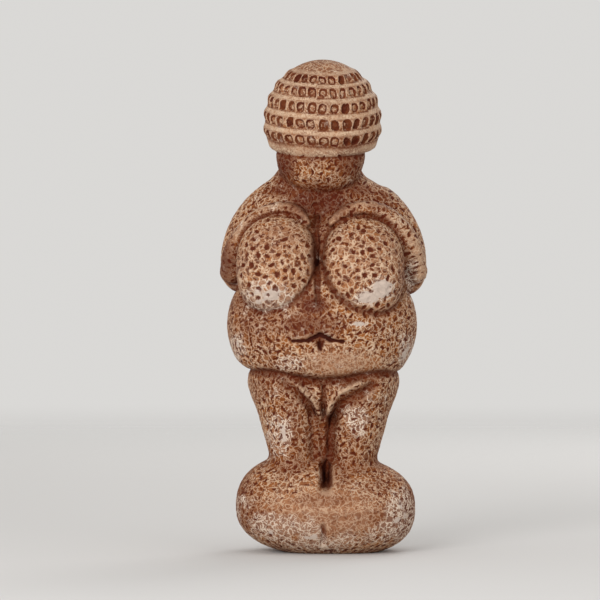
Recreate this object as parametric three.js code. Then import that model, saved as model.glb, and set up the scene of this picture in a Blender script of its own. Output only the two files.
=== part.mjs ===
// A palm-sized souvenir venus figurine, cast in one piece with the rounded foot that it stands on:
// a full-bodied standing woman, arms folded in over the breasts, in a close cap of notched rolls.
// Millimetres, +Z up. She faces -Y. The origin is the middle of the flat underside.
//
// The surface is found by casting rays out of the body's axis, ring by ring from the ground to the
// crown, onto a form built up from rounded masses and cut with the broad strokes of the carving.
import * as THREE from "three";

// Overall size, and the foot, which has sizes of its own.
const HEIGHT = 100; // ground to crown
const FOOT_WIDTH = 36.4;
const FOOT_DEPTH = 29;
const FOOT_WIDEST_AT = 9; // height of the foot's fullest girth
const FOOT_OVER_ROUND = 11; // vertical radius above that girth, up to the ankles
const FOOT_FLAT = 0.53; // width of the flat underside over the girth's width
const FOOT_SQUARENESS = 2.4; // exponent of the foot's sections: 2 is an ellipse
const FOOT_NARROWING = 0.3; // share of its depth that the foot loses from the girth to its top
const FOOT_LEAN = 0.05; // rise of its top for each millimetre to the left
const FOOT_BLEND = 1.5; // how far the ankles melt into it
// Both of these stand a touch to the left of the middle of the underside.
const GIRTH_ACROSS = -1.2;
const BODY_ACROSS = -1.6; // the body's axis

// The figure's own proportions are hundredths of its height.
const share = (value) => (value * HEIGHT) / 100;
const hundredths = (...shares) => new THREE.Vector3(...shares.map(share));

// The cap of rolls, and the bow of the head. Angles on the cap are in degrees above its girth.
const HEAD_BOW = 12; // degrees forward
const BRIM_ANGLE = -24;
const LOWEST_ROLL_ANGLE = -14;
const CROWN_ANGLE = 60;
const CAP_ROLL_RISES = [0.45, 0.45, 0.45, 0.4, 0.25].map(share); // crest above valley, from the lowest roll up
const CAP_ROLLS = CAP_ROLL_RISES.length;
const CAP_NOTCH_DEPTH = share(0.5);
const CAP_BRIM_ROUND = share(0.6);
const NOTCH_LOW = 0.08; // a notch's lower and upper end, as shares of its roll
const NOTCH_HIGH = 0.63;

// Rings and columns of the faceted surface.
const COLUMNS = 64;
const FRONT_CROWDING = 0.3; // share by which columns close up towards the front of the body
const RAY_LENGTH = share(30) + FOOT_WIDTH / 2;
const RAY_STEP = share(0.4);
const RAY_HALVINGS = 14;

// The masses of the body, each melted into those before it over its own blend. Left and right are the viewer's.
const HIPS = { at: hundredths(0, 1.4, 34), radii: hundredths(14.2, 11.2, 7), blend: share(3) };
const CHEST = { at: hundredths(0, 1.2, 58), radii: hundredths(16.8, 11, 15), blend: share(3) };
const NECK = { at: hundredths(-0.9, 0.8, 76), radii: hundredths(8, 7.6, 9), blend: share(3) };
const YOKE = { at: hundredths(0, 1.8, 58.6), radii: hundredths(21, 9.2, 20), blend: share(3) };
const YOKE_END = { height: share(51.9), tilt: -0.015, round: share(5) };
const BUTTOCKS = [-1, 1].map((side) => ({
  at: hundredths(side * 6, 5.8, 37.4),
  radii: hundredths(7.8, 7.6, 8.6),
  blend: share(1.5),
}));
const BELLY = { at: hundredths(-0.3, -0.6, 46.2), radii: hundredths(19.3, 14.8, 16.5), blend: share(0.5) };
const BELLY_CREASE = { middle: share(34.8), rise: share(1.7), reach: share(16), tilt: -0.04, round: share(2.2) };
const BREAST_SQUARENESS = 2.3; // exponent of their sections: 2 is an ellipse
const BREASTS = [
  { at: hundredths(-9.2, -7.3, 57.8), radii: hundredths(8.4, 8.4, 10.6) },
  { at: hundredths(7.6, -7.3, 57.2), radii: hundredths(8.6, 8.4, 10.8) },
].map((mass) => ({ ...mass, squareness: BREAST_SQUARENESS, blend: share(0.6) }));
const BREAST_SAG = 12; // degrees by which the lower end of each breast leans forward
const FACE = { at: hundredths(-0.6, -2.4, 80.6), radii: hundredths(9, 8.1, 9), blend: share(1) };
const CAP = { at: hundredths(-0.2, -0.9, 87.25), radii: hundredths(11.7, 12.1, 12.8), blend: share(0.3) };

const CURVE_POINTS = 12;
const curve = (...points) =>
  new THREE.CatmullRomCurve3(points.map((shares) => hundredths(...shares))).getPoints(CURVE_POINTS);

// Each forearm is a slim band from the elbow up round the outside of the breast and over its top.
const FOREARMS = [
  curve([-18.2, -1, 57], [-17.6, -4.4, 61.3], [-14.6, -6.2, 66], [-10.4, -7.2, 69], [-6, -7.8, 69], [-3.2, -8.6, 66.8]),
  curve([18.2, -1, 57], [17.2, -4.4, 62.2], [13.8, -6.4, 67], [9.8, -7.4, 69.3], [5.4, -7.9, 69.1], [1.6, -8.6, 66.8]),
].map((path) => ({ path, radii: [share(2.9), share(1.1)], blend: share(0.6) }));

// The legs taper down into the foot, with a web between them. No stroke cuts the core inside them.
const inFoot = (across, out) => hundredths(across, out, 0).setZ(FOOT_WIDEST_AT);
const LEGS = [-1, 1].map((side) => ({
  path: [hundredths(side * 7.4, 1.4, 35), inFoot(side * 4.7, -2.2)],
  radii: [share(7.7), share(3.2)],
  deep: 1.5,
  blend: share(1.6),
}));
const WEB = {
  path: [hundredths(0, 1, 32), hundredths(0, 0, 19), inFoot(0, 1)],
  radii: [share(5.6), share(2.6)],
  deep: 1.5,
  blend: share(0.8),
};
const CORE = { path: [hundredths(0, 0, 30), inFoot(0, 0)], radii: [share(4), share(4)], blend: share(1) };

// Strokes of the carving, seen square on: points are (across, height). A depth below nought stands proud.
const stroke = (width, depth, ...points) => ({
  width: share(width),
  depth: share(depth),
  path: points.map(([x, z]) => new THREE.Vector2(share(x), share(z))),
});
const FRONT_STROKES = {
  cleavage: stroke(0.8, 1, [-1.1, 68], [-1, 50.5]),
  throat: stroke(2.1, 1.2, [-1, 69.4], [-1.1, 67.6]),
  navelSlit: stroke(0.8, 1, [-6.2, 42.8], [-3.4, 43.1], [-0.9, 44.2], [1.4, 43.2], [3.8, 42.8]),
  navelHollow: stroke(1.2, 1.3, [-0.9, 43.2], [-0.8, 42.2]),
  leftGroin: stroke(1.1, 0.9, [-8, 34.8], [-4.8, 30.8], [-1.4, 26.4]),
  rightGroin: stroke(1.1, 0.9, [9.6, 34], [5.2, 30.4], [1.8, 26.4]),
  leftFold: stroke(0.8, -0.8, [-4.6, 33.4], [-2.4, 31.4], [-1, 28.2]),
  rightFold: stroke(0.8, -0.8, [8, 34.6], [3.6, 32.6], [0.9, 28.6]),
  between: stroke(0.8, 0.9, [-0.2, 34.2], [0, 28]),
  bellyCrease: stroke(1, 0.4, [-12, 36.6], [-5, 35.4], [-0.9, 34.8], [4.2, 35.6], [12, 36.4]),
  legLine: stroke(1, 1.2, [0.2, 27], [0.3, 13.4]),
  rightNeck: stroke(1.5, 0.7, [9.4, 77], [11.2, 75]),
};
const FOOT_STROKES = {
  ankleSlot: stroke(1.1, 4, [0.4, 17.8], [0.4, 14]),
  toeLine: stroke(0.8, 0.5, [-0.2, 6], [-0.2, 2.6]),
};
const BACK_STROKES = {
  spine: stroke(2.2, 0.9, [-0.3, 70], [0, 48]),
  leftArm: stroke(1.3, 0.7, [-14.6, 67], [-15.4, 61], [-15, 57]),
  rightArm: stroke(1.3, 0.7, [14.6, 67], [15.4, 61], [15, 57]),
  legLine: stroke(1, 1.4, [0, 30], [0, 17.5]),
  rightNeck: FRONT_STROKES.rightNeck,
};

const radians = THREE.MathUtils.degToRad;
const mix = THREE.MathUtils.lerp;

const bowed = radians(HEAD_BOW);
const HEAD_UP = new THREE.Vector3(0, -Math.sin(bowed), Math.cos(bowed));
const HEAD_FRONT = new THREE.Vector3(0, -Math.cos(bowed), -Math.sin(bowed));
const BRIM_AT = CAP.radii.z * Math.sin(radians(BRIM_ANGLE));
const ROLL_PITCH = (CROWN_ANGLE - LOWEST_ROLL_ANGLE) / CAP_ROLLS;
const NOTCHES = Array.from({ length: CAP_ROLLS }, (_, roll) => COLUMNS / (roll < CAP_ROLLS - 1 ? 2 : 4));

// Distance from a point to a surface, below nought inside.
function ellipsoid(point, { at, radii, squareness = 2 }) {
  const shares = point.clone().sub(at).divide(radii).toArray().map(Math.abs);
  const steep = shares.map((share) => share ** (squareness - 1));
  const reach = shares.reduce((sum, share, i) => sum + share * steep[i], 0) ** (1 / squareness);
  const slope = new THREE.Vector3(...steep).divide(radii).length();
  const least = Math.min(radii.x, radii.y, radii.z);
  return slope < 1e-9 ? -least : ((reach - 1) * reach ** (squareness - 1)) / slope;
}

// A limb along a path of points. Its radius changes evenly along it, and it is `deep` times as deep as wide.
function limb(point, { path, radii, deep = 1 }) {
  const flattened = (v) => new THREE.Vector3(v.x, v.y / deep, v.z);
  const spot = flattened(point);
  const spans = path.length - 1;
  let nearest = Infinity;
  for (let i = 0; i < spans; i++) {
    const from = flattened(path[i]);
    const along = flattened(path[i + 1]).sub(from);
    const t = THREE.MathUtils.clamp(spot.clone().sub(from).dot(along) / along.lengthSq(), 0, 1);
    const radius = mix(radii[0], radii[1], (i + t) / spans);
    nearest = Math.min(nearest, spot.distanceTo(from.addScaledVector(along, t)) - radius);
  }
  return nearest;
}

function joined(a, b, blend) {
  const h = Math.max(blend - Math.abs(a - b), 0) / blend;
  return Math.min(a, b) - (h * h * blend) / 4;
}

const kept = (a, b, blend) => -joined(-a, -b, blend);

function distanceToPath(spot, path) {
  let nearest = Infinity;
  for (let i = 0; i + 1 < path.length; i++) {
    const along = path[i + 1].clone().sub(path[i]);
    const t = THREE.MathUtils.clamp(spot.clone().sub(path[i]).dot(along) / along.lengthSq(), 0, 1);
    nearest = Math.min(nearest, spot.distanceTo(path[i].clone().addScaledVector(along, t)));
  }
  return nearest;
}

// What a set of strokes takes away at a point.
function carving(strokes, point) {
  const spot = new THREE.Vector2(point.x, point.z);
  let cut = 0;
  for (const { path, width, depth } of Object.values(strokes))
    cut += depth * Math.exp(-((distanceToPath(spot, path) / width) ** 2));
  return cut;
}

// Below the girth the foot would round down to a point under the ground, so that the ground cuts it flat.
const FOOT_UNDER_ROUND = FOOT_WIDEST_AT / (1 - FOOT_FLAT ** FOOT_SQUARENESS) ** (1 / FOOT_SQUARENESS);

// The girth stands off the middle of the underside, and the sides below it slant in to that middle.
function foot(point) {
  const rise = point.z - FOOT_WIDEST_AT;
  const upward = THREE.MathUtils.clamp(rise / FOOT_OVER_ROUND, 0, 1);
  const downward = THREE.MathUtils.clamp(-rise / FOOT_WIDEST_AT, 0, 1);
  const across = point.x - GIRTH_ACROSS * (1 - downward ** 2);
  const above = rise + FOOT_LEAN * (point.x - BODY_ACROSS) * upward;
  const halfDepth = (FOOT_DEPTH / 2) * (1 - FOOT_NARROWING * upward);
  const radii = [FOOT_WIDTH / 2, halfDepth, above > 0 ? FOOT_OVER_ROUND : FOOT_UNDER_ROUND];
  const powers = [across, point.y, above].map((v, i) => Math.abs(v / radii[i]) ** FOOT_SQUARENESS);
  const reach = (powers[0] + powers[1] + powers[2]) ** (1 / FOOT_SQUARENESS);
  return (reach - 1) * FOOT_OVER_ROUND;
}

// The shoulders and upper arms, one rounded yoke that ends at the elbows.
function yoke(point) {
  const end = YOKE_END.height + YOKE_END.tilt * point.x;
  return kept(ellipsoid(point, YOKE), end - point.z, YOKE_END.round);
}

// The belly hangs over the hips in a crease that dips in the middle.
function belly(point) {
  const dip = BELLY_CREASE.rise * (point.x / BELLY_CREASE.reach) ** 2 + BELLY_CREASE.tilt * point.x;
  return kept(ellipsoid(point, BELLY), BELLY_CREASE.middle + dip - point.z, BELLY_CREASE.round);
}

function breast(point, mass) {
  const turned = point.clone().sub(mass.at).applyAxisAngle(new THREE.Vector3(1, 0, 0), radians(BREAST_SAG));
  return ellipsoid(turned.add(mass.at), mass);
}

// Two like masses side by side, melted into each other and then into what is there.
function withPair(d, point, shape, [left, right]) {
  return joined(d, joined(shape(point, left), shape(point, right), left.blend), left.blend);
}

// The relief of the cap's rolls, in millimetres out of the cap's own ellipsoid.
function capRelief(angle, turn) {
  const place = (angle - LOWEST_ROLL_ANGLE) / ROLL_PITCH;
  if (place < 0 || place >= CAP_ROLLS) return 0;
  const roll = Math.floor(place);
  const within = place - roll;
  const rise = CAP_ROLL_RISES[roll] * Math.sin(Math.PI * within) ** 2;
  const notched = within > NOTCH_LOW && within < NOTCH_HIGH;
  const inNotch = Math.cos(turn * NOTCHES[roll]) > 0;
  return rise - (notched && inNotch ? CAP_NOTCH_DEPTH : 0);
}

function cap(point) {
  const from = point.clone().sub(CAP.at);
  const up = from.dot(HEAD_UP);
  const front = from.dot(HEAD_FRONT);
  const out = Math.hypot(from.x / CAP.radii.x, front / CAP.radii.y);
  const angle = THREE.MathUtils.radToDeg(Math.atan2(up / CAP.radii.z, out));
  const relief = capRelief(angle, Math.atan2(from.x, front));
  const shell = (Math.hypot(out, up / CAP.radii.z) - 1) * CAP.radii.x - relief;
  return kept(shell, BRIM_AT - up, CAP_BRIM_ROUND);
}

function body(point) {
  let d = joined(limb(point, LEGS[0]), limb(point, LEGS[1]), LEGS[0].blend);
  d = joined(d, limb(point, WEB), WEB.blend);
  for (const mass of [HIPS, CHEST, NECK]) d = joined(d, ellipsoid(point, mass), mass.blend);
  d = joined(d, yoke(point), YOKE.blend);
  d = withPair(d, point, ellipsoid, BUTTOCKS);
  d = joined(d, belly(point), BELLY.blend);
  d = withPair(d, point, breast, BREASTS);
  for (const arm of FOREARMS) d = joined(d, limb(point, arm), arm.blend);
  d = joined(d, ellipsoid(point, FACE), FACE.blend);
  d += carving(point.y < 0 ? FRONT_STROKES : BACK_STROKES, point);
  return joined(d, cap(point), CAP.blend);
}

function figure(point) {
  const onBody = point.clone().setX(point.x - BODY_ACROSS);
  const cutFoot = foot(point) + (point.y < 0 ? carving(FOOT_STROKES, onBody) : 0);
  return joined(joined(body(onBody), cutFoot, FOOT_BLEND), limb(onBody, CORE), CORE.blend);
}

// Rings of the surface: heights up the body's axis, then angles up the cap's own leaning one.
const BODY_BANDS = [
  { to: 19, rings: 10 },
  { to: 34, rings: 8 },
  { to: 37.6, rings: 3 },
  { to: 41, rings: 2 },
  { to: 44.6, rings: 5 },
  { to: 50, rings: 2 },
  { to: 54.8, rings: 4 },
  { to: 65, rings: 5 },
  { to: 71, rings: 6 },
].map(({ to, rings }) => ({ to: share(to), rings }));
const NECK_RINGS = 7;
const BRIM_RINGS = [-1, 1.2, 5]; // degrees from the brim's own angle
const ROLL_RINGS = [0, 0.13, 0.58, 0.72]; // shares of a roll
const CROWN_RINGS = [0, 9, 19]; // degrees above the topmost roll

function bodyRings() {
  const rings = [];
  let from = 0;
  for (const { to, rings: count } of BODY_BANDS) {
    for (let i = 0; i < count; i++) rings.push(mix(from, to, i / count));
    from = to;
  }
  return rings.map((z) => ({ at: new THREE.Vector3(BODY_ACROSS, 0, z), lean: 0, crowding: FRONT_CROWDING }));
}

function capAxis(angle) {
  const middle = CAP.at.clone().setX(CAP.at.x + BODY_ACROSS);
  return middle.addScaledVector(HEAD_UP, CAP.radii.z * Math.sin(radians(angle)));
}

// Through the neck the rings take on the lean of the cap little by little.
function neckRings() {
  const from = new THREE.Vector3(BODY_ACROSS, 0, BODY_BANDS.at(-1).to);
  const to = capAxis(BRIM_ANGLE + BRIM_RINGS[0]);
  return Array.from({ length: NECK_RINGS }, (_, i) => {
    const t = i / (NECK_RINGS - 1);
    return { at: from.clone().lerp(to, t), lean: bowed * t, crowding: FRONT_CROWDING * (1 - t) };
  });
}

function capRings() {
  const angles = BRIM_RINGS.slice(1).map((step) => BRIM_ANGLE + step);
  for (let roll = 0; roll < CAP_ROLLS; roll++)
    for (const within of ROLL_RINGS) angles.push(LOWEST_ROLL_ANGLE + (roll + within) * ROLL_PITCH);
  angles.push(...CROWN_RINGS.map((step) => CROWN_ANGLE + step));
  return angles.map((angle) => ({ at: capAxis(angle), lean: bowed, crowding: 0 }));
}

// The outermost point of the figure on a ray.
function surfacePoint(start, direction) {
  const at = (t) => start.clone().addScaledVector(direction, t);
  let inner = RAY_LENGTH;
  while (inner > 0 && figure(at(inner)) > 0) inner -= RAY_STEP;
  let outer = inner + RAY_STEP;
  for (let i = 0; i < RAY_HALVINGS; i++) {
    const middle = (inner + outer) / 2;
    if (figure(at(middle)) > 0) outer = middle;
    else inner = middle;
  }
  return at((inner + outer) / 2);
}

function ringPoints({ at, lean, crowding }) {
  const front = new THREE.Vector3(0, -Math.cos(lean), -Math.sin(lean));
  return Array.from({ length: COLUMNS }, (_, i) => {
    const even = (2 * Math.PI * i) / COLUMNS;
    const turn = even - crowding * Math.sin(even);
    const direction = new THREE.Vector3(Math.sin(turn), 0, 0).addScaledVector(front, Math.cos(turn));
    return surfacePoint(at, direction);
  });
}

// How far the middle of an edge is from the figure's surface.
const offSurface = (a, b) => Math.abs(figure(a.clone().lerp(b, 0.5)));

function figurineGeometry() {
  const rings = [...bodyRings(), ...neckRings(), ...capRings()].map(ringPoints);
  const positions = [new THREE.Vector3(0, 0, 0), ...rings.flat()];
  const crown = positions.push(surfacePoint(capAxis(0), HEAD_UP)) - 1;
  const index = [];
  const corner = (ring, column) => 1 + ring * COLUMNS + (column % COLUMNS);
  for (let c = 0; c < COLUMNS; c++) {
    index.push(0, corner(0, c + 1), corner(0, c));
    for (let r = 0; r + 1 < rings.length; r++) {
      const [a, b, d, e] = [corner(r, c), corner(r, c + 1), corner(r + 1, c + 1), corner(r + 1, c)];
      const ridge = offSurface(positions[a], positions[d]) < offSurface(positions[b], positions[e]);
      index.push(...(ridge ? [a, b, d, a, d, e] : [a, b, e, b, d, e]));
    }
    index.push(corner(rings.length - 1, c), corner(rings.length - 1, c + 1), crown);
  }
  const geometry = new THREE.BufferGeometry().setFromPoints(positions);
  geometry.setIndex(index);
  geometry.computeVertexNormals();
  return geometry;
}

function figurineMaterial() {
  return new THREE.MeshStandardMaterial({ color: 0xb98a6a, roughness: 0.75, metalness: 0 });
}

const figurine = new THREE.Mesh(figurineGeometry(), figurineMaterial());
figurine.name = "figurine";

const part = new THREE.Group();
part.add(figurine);

export default part;
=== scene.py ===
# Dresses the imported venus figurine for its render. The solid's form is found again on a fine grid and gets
# its tool marks, the notches of the cap and the antiqued paint of a cast souvenir, with painted shade in its
# hollows and shaded places and painted light on some pale ones.
#
# Lengths are in hundredths of the figure's height, which is close to millimetres here, and are measured from
# the body's axis. The last step brings the surface to the frame's own place and size. She faces -Y, and left
# and right are the viewer's.
import math
from collections import namedtuple

import bpy
import numpy as np
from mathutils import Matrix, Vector, kdtree, noise


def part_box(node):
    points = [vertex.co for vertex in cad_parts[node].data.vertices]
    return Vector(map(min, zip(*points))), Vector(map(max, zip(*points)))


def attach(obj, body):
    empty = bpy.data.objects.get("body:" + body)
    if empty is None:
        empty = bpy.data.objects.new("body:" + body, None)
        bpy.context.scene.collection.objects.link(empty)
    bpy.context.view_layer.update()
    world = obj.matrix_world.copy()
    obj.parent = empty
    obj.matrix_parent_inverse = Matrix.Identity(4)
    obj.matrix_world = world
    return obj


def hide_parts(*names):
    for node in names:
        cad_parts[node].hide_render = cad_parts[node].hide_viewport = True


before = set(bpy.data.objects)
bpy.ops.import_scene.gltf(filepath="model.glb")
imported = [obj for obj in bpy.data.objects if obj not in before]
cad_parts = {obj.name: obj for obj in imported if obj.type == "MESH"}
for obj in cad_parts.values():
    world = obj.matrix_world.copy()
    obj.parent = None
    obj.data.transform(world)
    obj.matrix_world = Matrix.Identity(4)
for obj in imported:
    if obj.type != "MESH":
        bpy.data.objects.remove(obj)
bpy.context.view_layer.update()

# The body's axis and the foot's girth stand off the middle of the flat underside, the frame's origin.
BODY_ACROSS = -1.6
GIRTH_ACROSS = -1.2
FOOT_WIDTH = 36.4
FOOT_DEPTH = 29
FOOT_WIDEST_AT = 9
FOOT_OVER_ROUND = 11
FOOT_FLAT = 0.53  # width of the flat underside over the girth's width
FOOT_SQUARENESS = 2.4
FOOT_NARROWING = 0.3
FOOT_LEAN = 0.05  # how much higher its top is to the left
# Below the girth the foot would round down to a point under the ground, so that the ground cuts it flat.
FOOT_UNDER_ROUND = FOOT_WIDEST_AT / (1 - FOOT_FLAT**FOOT_SQUARENESS) ** (1 / FOOT_SQUARENESS)

Mass = namedtuple("Mass", "at radii squareness")
# A limb tapers along its path from its first radius to its second, and is so many times as deep as wide.
Limb = namedtuple("Limb", "path radii deep")
CURVE_POINTS = 14


def mass(at, radii, squareness=2):
    """A rounded mass. The squareness is the exponent of its sections, and 2 is an ellipse."""
    return Mass(np.array(at, float), np.array(radii, float), squareness)


def curve(*points):
    """Points along one smooth curve through the given ones."""
    p = np.array(points, float)
    ends = np.vstack([2 * p[0] - p[1], p, 2 * p[-1] - p[-2]])
    places = np.linspace(0, len(p) - 1, CURVE_POINTS)
    i = np.minimum(places.astype(int), len(p) - 2)
    t = (places - i)[:, None]
    a, b, c, d = (ends[i + k] for k in range(4))
    return 0.5 * (2 * b + (c - a) * t + (2 * a - 5 * b + 4 * c - d) * t**2 + (3 * b - a - 3 * c + d) * t**3)


def leg(side):
    return Limb(np.array([(side * 7.4, 1.4, 35), (side * 4.7, -2.2, FOOT_WIDEST_AT)]), (7.7, 3.2), 1.5)


LEGS = [leg(-1), leg(1)]
WEB = Limb(np.array([(0, 1, 32), (0, 0, 19), (0, 1, FOOT_WIDEST_AT)], float), (5.6, 2.6), 1.5)
CORE = Limb(np.array([(0, 0, 30), (0, 0, FOOT_WIDEST_AT)], float), (4, 4), 1)
HIPS = mass((0, 1.4, 34), (14.2, 11.2, 7))
CHEST = mass((0, 1.2, 58), (16.8, 11, 15))
NECK = mass((-0.9, 0.8, 76), (8, 7.6, 9))
YOKE = mass((0, 1.8, 58.6), (21, 9.2, 20))
YOKE_END = 51.9
YOKE_END_TILT = -0.015
YOKE_END_ROUND = 5
BUTTOCKS = [mass((side * 6, 5.8, 37.4), (7.8, 7.6, 8.6)) for side in (-1, 1)]
BELLY = mass((-0.3, -0.6, 46.2), (19.3, 14.8, 16.5))
CREASE_MIDDLE = 34.8
CREASE_RISE = 1.7
CREASE_REACH = 16
CREASE_TILT = -0.04
CREASE_ROUND = 2.2
BREAST_SQUARENESS = 2.3
BREASTS = [
    mass((-9.2, -7.3, 57.8), (8.4, 8.4, 10.6), BREAST_SQUARENESS),
    mass((7.6, -7.3, 57.2), (8.6, 8.4, 10.8), BREAST_SQUARENESS),
]
BREAST_SAG = math.radians(12)
FOREARM_RADII = (2.9, 1.1)
LEFT_FOREARM_PATH = curve(
    (-18.2, -1, 57),
    (-17.6, -4.4, 61.3),
    (-14.6, -6.2, 66),
    (-10.4, -7.2, 69),
    (-6, -7.8, 69),
    (-3.2, -8.6, 66.8),
)
RIGHT_FOREARM_PATH = curve(
    (18.2, -1, 57),
    (17.2, -4.4, 62.2),
    (13.8, -6.4, 67),
    (9.8, -7.4, 69.3),
    (5.4, -7.9, 69.1),
    (1.6, -8.6, 66.8),
)
FOREARMS = [Limb(path, FOREARM_RADII, 1) for path in (LEFT_FOREARM_PATH, RIGHT_FOREARM_PATH)]
FACE = mass((-0.6, -2.4, 80.6), (9, 8.1, 9))
CAP = mass((-0.2, -0.9, 87.25), (11.7, 12.1, 12.8))

# How softly the forms that BODY_FORMS doesn't list melt together.
LEG_BLEND = 1.6
BUTTOCK_BLEND = 1.5
BREAST_BLEND = 0.6
CAP_BLEND = 0.3
FOOT_BLEND = 1.5
CORE_BLEND = 1

# Strokes of the carving, seen square on: points are (across, height). A depth below nought stands proud.
# The stain says how dark the paint lies in a stroke, and above 1 it is dark right up to the stroke's edges.
Stroke = namedtuple("Stroke", "width depth stain path")


def stroke(width, depth, stain, *points):
    return Stroke(width, depth, stain, np.array(points, float))


RIGHT_NECK = stroke(1.5, 0.7, 0, (9.4, 77), (11.2, 75))
FRONT_STROKES = {
    "cleavage": stroke(0.6, 1, 0.75, (-1.4, 68), (-1.3, 50.5)),
    "throat": stroke(1.9, 1.2, 0.6, (-1, 69.4), (-1.1, 67.6)),
    "navel slit": stroke(0.3, 0.7, 1.3, (-6.4, 42.8), (-3.4, 43.2), (-0.9, 44.3), (1.4, 43.3), (4, 42.8)),
    "navel lip": stroke(0.5, 0.7, 1.15, (-3, 43.2), (-0.9, 44.1), (1.2, 43.3)),
    "navel hollow": stroke(1, 1.1, 0.8, (-0.9, 43.2), (-0.8, 42.5)),
    "navel tail": stroke(0.4, 0.5, 1, (-0.8, 42.5), (-0.6, 41.2)),
    "left groin": stroke(0.8, 0.7, 0.4, (-7.8, 34.7), (-5.4, 32.4), (-3.4, 30.4), (-2.4, 28.4)),
    "right groin": stroke(1, 0.9, 0.6, (9.6, 34), (5.8, 31.5), (3.2, 29.8), (1.9, 27)),
    "left fold": stroke(0.6, -0.7, 0, (-4.6, 33.4), (-2.4, 31.4), (-1, 28.2)),
    "right fold": stroke(0.7, -0.6, 0, (7.4, 34.4), (4.4, 33.1), (2, 31.7), (1, 28.2)),
    "between": stroke(0.5, 0.8, 0.5, (-0.2, 34.2), (0, 28)),
    "belly crease": stroke(1, 0.4, 0.45, (-12, 36.6), (-5, 35.4), (-0.9, 34.8), (4.2, 35.6), (12, 36.4)),
    "left leg line": stroke(0.6, 0.4, 0.3, (-0.6, 26), (-0.3, 20)),
    "right leg line": stroke(1, 0.9, 0.7, (1.3, 27.2), (1, 20), (0.4, 15)),
    "right neck": RIGHT_NECK,
}
FOOT_STROKES = {
    "ankle slot": stroke(0.95, 4, 0.8, (0.4, 17.8), (0.4, 14)),
    "toe line": stroke(0.5, 0.5, 0.4, (-0.2, 6), (-0.2, 2.6)),
}
BACK_STROKES = {
    "spine": stroke(2.2, 0.9, 0.3, (-0.3, 70), (0, 48)),
    "left arm": stroke(1.1, 0.7, 0.4, (-14.6, 67), (-15.4, 61), (-15, 57)),
    "right arm": stroke(1.1, 0.7, 0.4, (14.6, 67), (15.4, 61), (15, 57)),
    "leg line": stroke(0.8, 1.4, 0.6, (0, 30), (0, 17.5)),
    "right neck": RIGHT_NECK,
}
HAND_SWAY = 0.12  # how far a stroke strays from its drawn path
HAND_TREMOR = 0.04
STAIN_WIDTH = 1.15  # of the paint in a stroke, over the stroke's own
PROUD_PAINT_WIDTH = 0.8  # of the paint on a raised stroke, over the stroke's own
SIDE_FADE = (1, -3)  # how far back her front's paint ends, and where it is full

# The cap of rolls. Its angles are in degrees above its girth, and shares of a roll run from its lower edge.
BOWED = math.radians(12)
HEAD_UP = np.array((0, -math.sin(BOWED), math.cos(BOWED)))
HEAD_FRONT = np.array((0, -math.cos(BOWED), -math.sin(BOWED)))
BRIM_ANGLE = -24
BRIM_AT = CAP.radii[2] * math.sin(math.radians(BRIM_ANGLE))
BRIM_ROUND = 0.6
LOWEST_ROLL_ANGLE = -14
CROWN_ANGLE = 60
ROLL_SWAY = 0.8  # degrees by which the rolls wander up and down
ROLL_RISES = (0.45, 0.45, 0.45, 0.4, 0.25)
NOTCHES = (32, 32, 32, 30, 26)
ROLLS = len(NOTCHES)
ROLL_PITCH = (CROWN_ANGLE - LOWEST_ROLL_ANGLE) / ROLLS
NOTCH_LOW = 0.05
NOTCH_HIGH = 0.7
NOTCH_DEPTH = 0.6
NOTCH_SHARE = 0.76  # a notch's width over the pitch of the notches
NOTCH_SQUARENESS = 2.8
NOTCH_EDGE = (0.7, 1)  # where its walls begin and end, as shares of its reach
NOTCH_WALL = 0.8  # where the wash lies thickest in a notch, as a share of its reach
NOTCH_WALL_WIDTH = 0.2
FILLED_FLOOR = (0.95, 0.5)  # a filled notch's wash ends and is full at these shares of its reach
FILLED_DEPTH = (0.78, 0.98)  # notches are filled from the first of these depths, and fully from the second
NOTCH_SEED = 4
BAND_EDGE = 0.06  # how softly the paint of a band ends, as a share of a roll
BRIM_FADE = -0.3  # the brim is fully painted from so far below the lowest roll
CROWN_EDGE = 3  # degrees over which the paint changes at the crown
CROWN_DULLED = 0.85
LOW_EDGE = NOTCH_LOW - 0.04  # of the wash that has run along a row of notches, and how wide it lies
LOW_EDGE_WIDTH = 0.07
HIGH_EDGE_WIDTH = 0.06
HIGH_EDGE_WASH = 0.6  # how much of it lies along the row's upper edge

# The fine grid: up to each height, body rings so far apart.
COLUMNS = 272
FRONT_CROWDING = 0.4
BODY_BANDS = ((12, 0.44), (19, 0.3), (34, 0.34), (55, 0.27), (71, 0.26))
NECK_RINGS = 36
CAP_RING_STEP = 1.35  # degrees
LAST_RING_ANGLE = 88
RAY_LENGTH = 48
RAY_STEP = 0.7  # of the distance that is left
RAY_LEAST_STEP = 0.04
RAY_HALVINGS = 10
# The grid settles where neighbours are further apart than this, and so do some points round them.
STRETCHED = 0.75
SETTLED_MARGIN = 4
SETTLING_ROUNDS = 14
SLOPE_STEP = 0.02
LEAST_STEEPNESS = 0.25
LARGEST_LAY = 0.5

# Along a seam between two forms the carving cuts a shallow groove, and the paint lies a little wider.
SEAM_WIDTH = 0.5
SEAM_STAIN_WIDTH = 0.8
CAP_GROOVE = 0.3
FOOT_STAIN = 0.3
FOOT_STAIN_WIDTH = 1.6


def ellipsoid(points, shape):
    """Distance from each point to an ellipsoid, below nought inside, as with every form here."""
    shares = np.abs(points - shape.at) / shape.radii
    steep = shares ** (shape.squareness - 1)
    reach = (shares * steep).sum(axis=1) ** (1 / shape.squareness)
    slope = np.linalg.norm(steep / shape.radii, axis=1)
    return (reach - 1) * reach ** (shape.squareness - 1) / np.maximum(slope, 1e-9)


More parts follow.
